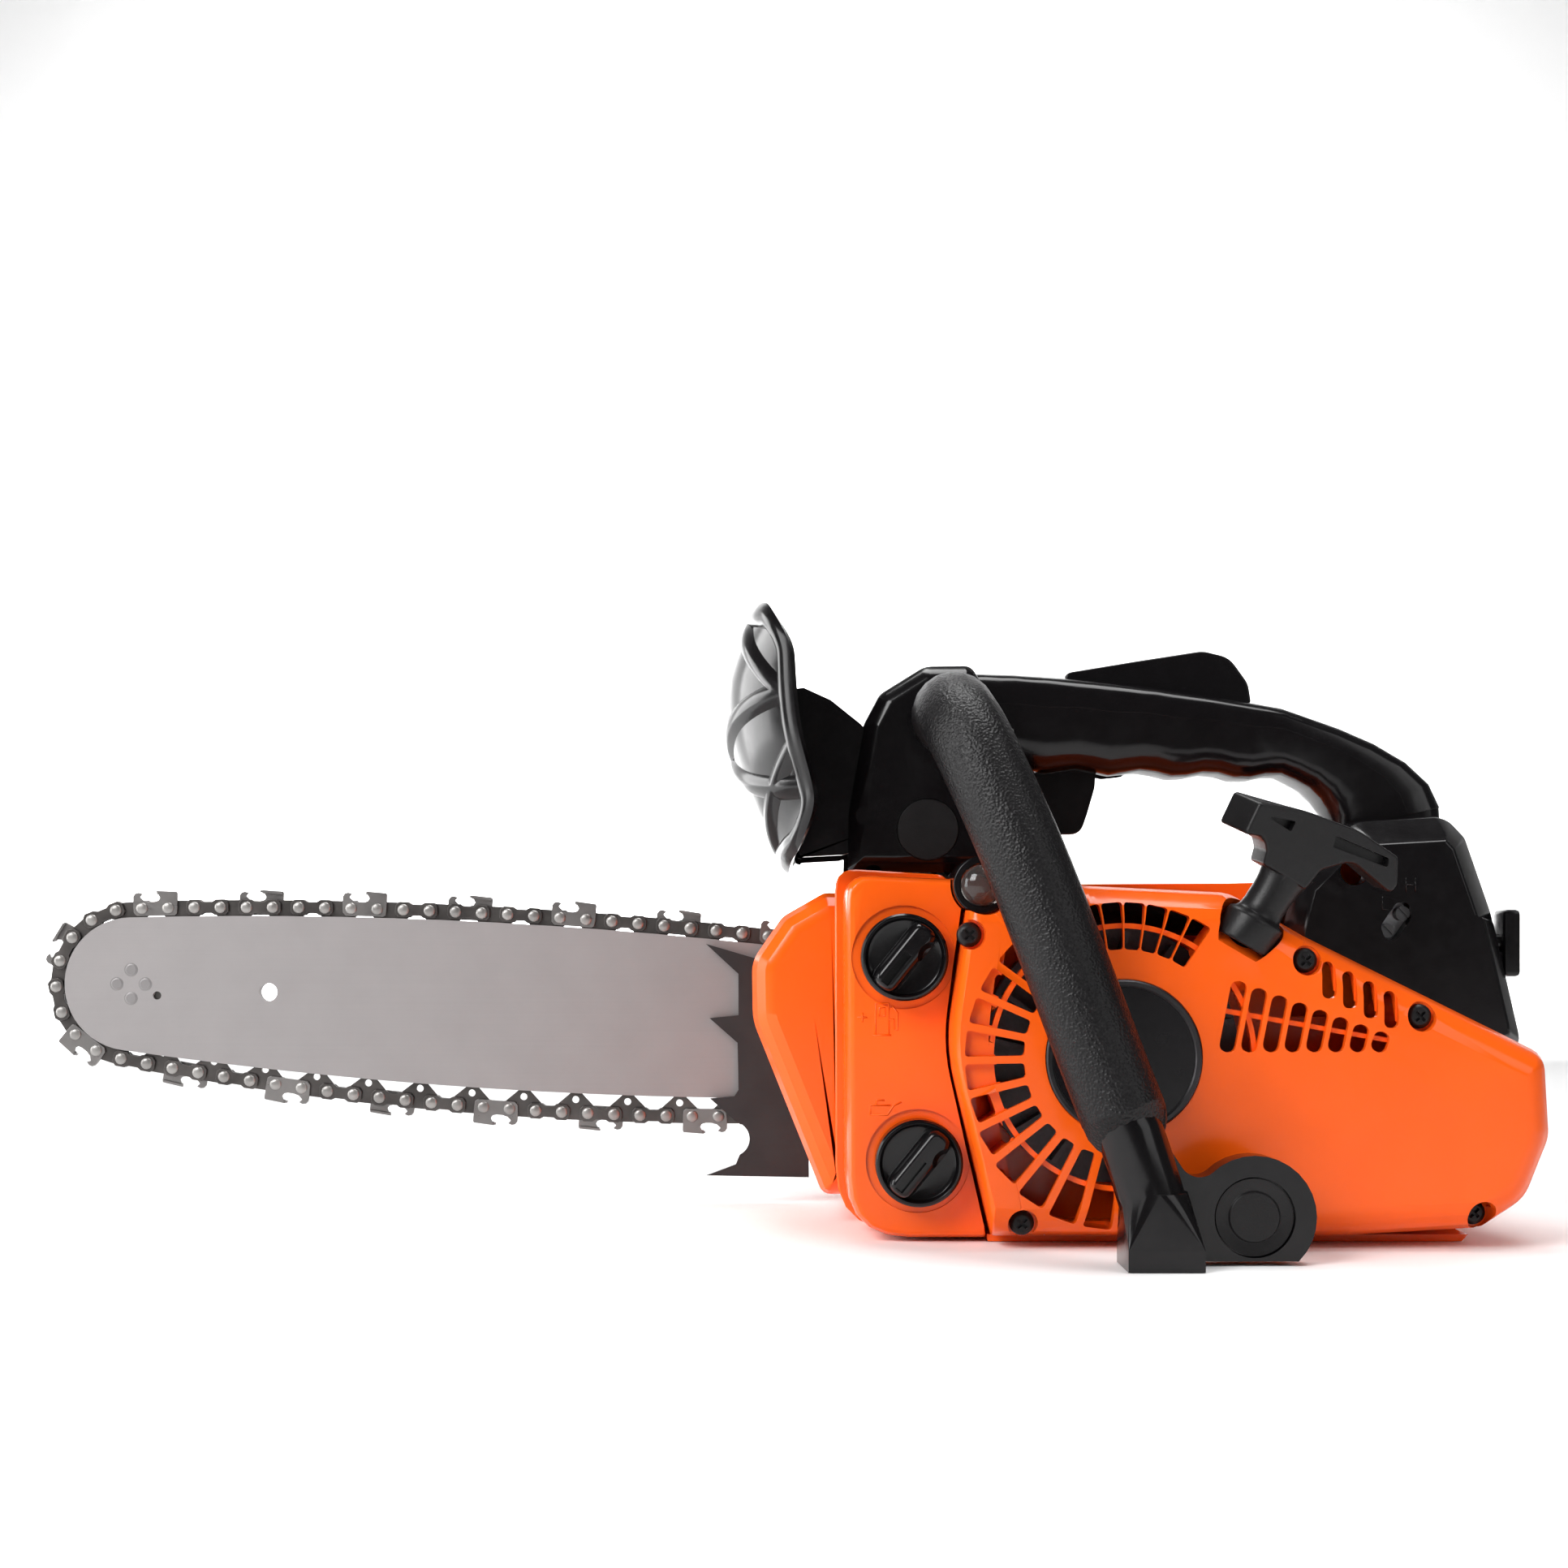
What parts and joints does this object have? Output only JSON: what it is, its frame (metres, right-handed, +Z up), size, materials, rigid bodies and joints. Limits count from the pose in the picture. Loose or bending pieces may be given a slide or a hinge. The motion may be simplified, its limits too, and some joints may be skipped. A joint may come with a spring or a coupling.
{
  "type": "chainsaw",
  "caption": "Top-handle petrol chainsaw with a guide bar and cutting chain, a wrap-around front handle, a hand guard that trips the brake, a pull starter and two filler caps.",
  "frame": {"origin": "on the ground under the crankshaft axis, in the centre plane of the cylinder", "axes": "+X to the rear away from the bar nose, +Y to the clutch side, +Z up"},
  "size_m": [0.5158, 0.2025, 0.208],
  "materials": {
    "orange": "glossy orange moulding",
    "black": "glossy black moulding",
    "rubber": "black rubber",
    "bar": "light brushed steel",
    "steel": "machined steel",
    "chain": "dark hardened steel",
    "bumper": "blackened steel plate",
    "alloy": "cast alloy",
    "brass": "brass screws",
    "filter": "felt and mesh filter",
    "ceramic": "white ceramic",
    "bulb": "clear soft plastic",
    "switch": "red moulding",
    "rope": "woven cord"
  },
  "bodies": {
    "frame": {"engine_housing": "orange", "tank_shell": "orange", "crankcase": "alloy", "crank_bearings": "steel", "engine_cylinder": "alloy", "cylinder_cover": "orange", "spark_plug": "ceramic", "muffler": "steel", "intake_manifold": "rubber", "carburettor": "alloy", "adjuster_screws": "brass", "air_filter": "filter", "air_filter_cover": "black", "handle_body": "black", "handle_top_cover": "black", "front_handle": "black", "front_handle_sleeve": "rubber", "av_mounts": "rubber", "mount_caps": "black", "starter_cover": "orange", "starter_badge": "black", "cover_screws": "black", "recoil_spring": "steel", "rope_bushing": "black", "ignition_coil": "rubber", "clutch_cover": "orange", "bar_stud": "steel", "bar_nut": "steel", "chain_tensioner": "steel", "guide_bar": "bar", "nose_rivets": "steel", "spiked_bumper": "bumper", "brake_band": "steel", "oil_pump": "alloy", "primer_base": "black", "control_pins": "steel"},
    "crank": {"crankshaft": "steel", "flywheel": "alloy", "flywheel_nut": "steel", "clutch_hub": "steel"},
    "chain_drive": {"clutch_drum": "steel", "clutch_bearing": "steel", "drive_sprocket": "steel", "chain_sprocket_wrap": "chain"},
    "top_chain": {"chain_top_run": "chain"},
    "nose_chain": {"nose_sprocket": "steel", "chain_nose_wrap": "chain"},
    "bottom_chain": {"chain_bottom_run": "chain"},
    "trigger": {"throttle_trigger": "black"},
    "lockout": {"throttle_lockout": "black"},
    "guard": {"hand_guard": "black"},
    "switch": {"stop_switch": "switch"},
    "pull_grip": {"starter_grip": "black", "starter_rope": "rope"},
    "rope_spool": {"starter_pulley": "black", "rope_coil": "rope"},
    "fuel_filler": {"fuel_cap": "black"},
    "oil_filler": {"oil_cap": "black"},
    "bulb": {"primer_bulb": "bulb"},
    "knob": {"filter_knob": "black"}
  },
  "joints": [
    {"name": "crank_turn", "type": "hinge", "parent": "frame", "child": "crank", "pos_m": [0, 0, 0.059], "axis": [0, -1, 0], "continuous": true},
    {"name": "drive_turn", "type": "hinge", "parent": "frame", "child": "chain_drive", "pos_m": [0, 0, 0.059], "axis": [0, -1, 0], "range_deg": [-6, 6]},
    {"name": "top_run_slide", "type": "slide", "parent": "frame", "child": "top_chain", "axis": [-0.9969, 0, 0.0781], "range_m": [-0.00224, 0.00224]},
    {"name": "nose_turn", "type": "hinge", "parent": "frame", "child": "nose_chain", "pos_m": [-0.34128, 0.047, 0.07928], "axis": [0, -1, 0], "range_deg": [-4.68, 4.68]},
    {"name": "bottom_run_slide", "type": "slide", "parent": "frame", "child": "bottom_chain", "axis": [0.9992, 0, -0.0391], "range_m": [-0.00224, 0.00224]},
    {"name": "trigger_pull", "type": "hinge", "parent": "frame", "child": "trigger", "pos_m": [-0.014, 0, 0.16], "axis": [0, -1, 0], "range_deg": [0, 18], "stiffness_Nm_per_rad": 0.4, "springref_deg": -17.19},
    {"name": "lockout_press", "type": "hinge", "parent": "frame", "child": "lockout", "pos_m": [-0.002, 0, 0.18], "axis": [0, 1, 0], "range_deg": [0, 7], "stiffness_Nm_per_rad": 0.8, "springref_deg": -11.46},
    {"name": "brake_push", "type": "hinge", "parent": "frame", "child": "guard", "pos_m": [-0.077, 0, 0.136], "axis": [0, -1, 0], "range_deg": [0, 20]},
    {"name": "stop_slide", "type": "slide", "parent": "frame", "child": "switch", "axis": [0, 0, 1], "range_m": [0, 0.004]},
    {"name": "rope_pull", "type": "slide", "parent": "frame", "child": "pull_grip", "axis": [0.4303, -0.5303, 0.7305], "range_m": [0, 0.7], "stiffness_N_per_m": 8, "springref_m": -0.5},
    {"name": "spool_turn", "type": "hinge", "parent": "frame", "child": "rope_spool", "pos_m": [0, 0, 0.059], "axis": [0, -1, 0], "range_deg": [0, 2046.28]},
    {"name": "fuel_cap_turn", "type": "hinge", "parent": "frame", "child": "fuel_filler", "pos_m": [-0.066, -0.066, 0.0895], "axis": [0, -1, 0], "range_deg": [0, 90]},
    {"name": "oil_cap_turn", "type": "hinge", "parent": "frame", "child": "oil_filler", "pos_m": [-0.0615, -0.066, 0.0255], "axis": [0, -1, 0], "range_deg": [0, 90]},
    {"name": "primer_press", "type": "slide", "parent": "frame", "child": "bulb", "axis": [0, 1, 0], "range_m": [0, 0.0035], "stiffness_N_per_m": 300, "springref_m": -0.001},
    {"name": "filter_knob_turn", "type": "hinge", "parent": "frame", "child": "knob", "pos_m": [0.134, -0.033, 0.094], "axis": [1, 0, 0], "range_deg": [0, 90]}
  ],
  "couplings": [
    {"joint": "top_run_slide", "follows": "drive_turn", "m_per_rad": 0.021403},
    {"joint": "nose_turn", "follows": "drive_turn", "ratio": 0.78037},
    {"joint": "bottom_run_slide", "follows": "drive_turn", "m_per_rad": 0.021403},
    {"joint": "spool_turn", "follows": "rope_pull", "rad_per_m": 51.02}
  ]
}
